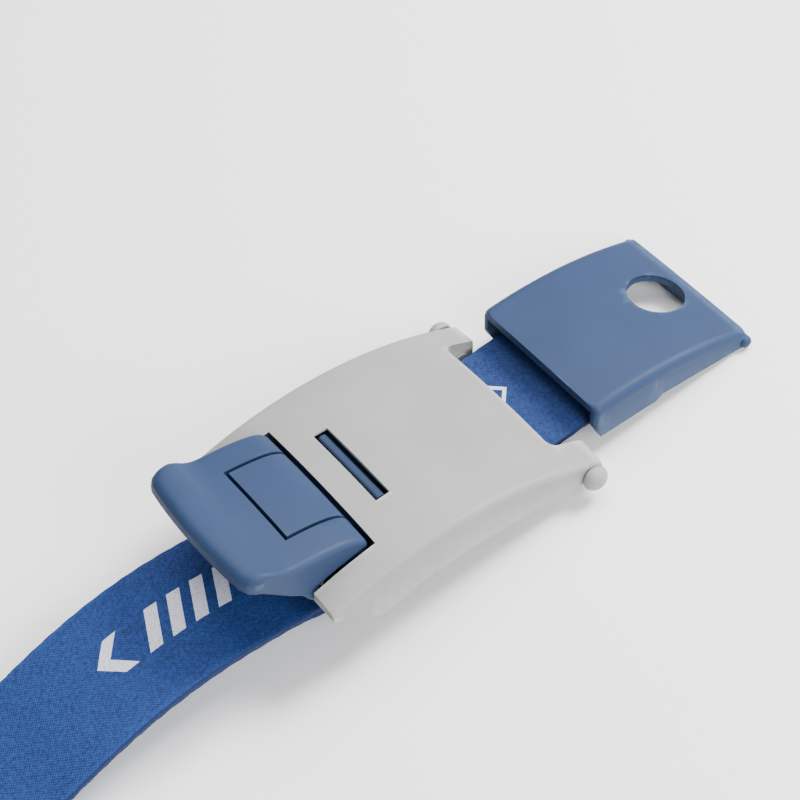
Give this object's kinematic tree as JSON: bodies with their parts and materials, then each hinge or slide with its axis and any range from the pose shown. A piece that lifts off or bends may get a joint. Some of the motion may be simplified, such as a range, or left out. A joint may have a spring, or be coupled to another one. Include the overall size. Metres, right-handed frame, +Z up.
{
  "type": "tourniquet",
  "caption": "Flat elastic webbing loop with an arched clamp buckle, a sprung release lever, a press button and a hinged pull tab with a finger hole.",
  "frame": {"origin": "middle of the part's bounding box, on the surface it lies on", "axes": "+X along the webbing from the loop's fold to the pull tab, +Y across the webbing, +Z up"},
  "size_m": [0.2283, 0.0452, 0.0281],
  "materials": {
    "housing_grey": "satin moulded plastic",
    "lever_blue": "satin moulded plastic",
    "webbing_blue": "fine woven elastic webbing",
    "steel": "plain"
  },
  "bodies": {
    "buckle": {"housing_shell": "housing_grey", "base_plate": "steel", "cross_bar": "housing_grey", "lever_axle": "steel", "lever_spring_front": "steel", "lever_spring_rear": "steel", "button_spring": "steel", "strap_upper": "webbing_blue", "strap_fold": "webbing_blue", "strap_lower": "webbing_blue", "strap_anchor": "webbing_blue"},
    "lever": {"clamp_lever": "lever_blue", "clamp_jaw": "steel"},
    "button": {"release_button": "lever_blue"},
    "feed": {"strap_feed": "webbing_blue"},
    "tab": {"tab_shell": "lever_blue", "tab_rod": "steel", "strap_tab_end": "webbing_blue"}
  },
  "joints": [
    {"name": "lever_press", "type": "hinge", "parent": "buckle", "child": "lever", "pos_m": [0.02986, 0, 0.01444], "axis": [0, -1, 0], "range_deg": [0, 8], "stiffness_Nm_per_rad": 0.5},
    {"name": "button_press", "type": "hinge", "parent": "buckle", "child": "button", "pos_m": [0.04353, 0, 0.01711], "axis": [0, -1, 0], "range_deg": [0, 3], "stiffness_Nm_per_rad": 0.3},
    {"name": "strap_pull", "type": "slide", "parent": "buckle", "child": "feed", "axis": [0.9998, 0, -0.0209], "range_m": [0, 0.02]},
    {"name": "tab_hinge", "type": "hinge", "parent": "feed", "child": "tab", "pos_m": [0.08309, 0, 0.00535], "axis": [0, -1, 0], "range_deg": [-45, 25]}
  ]
}
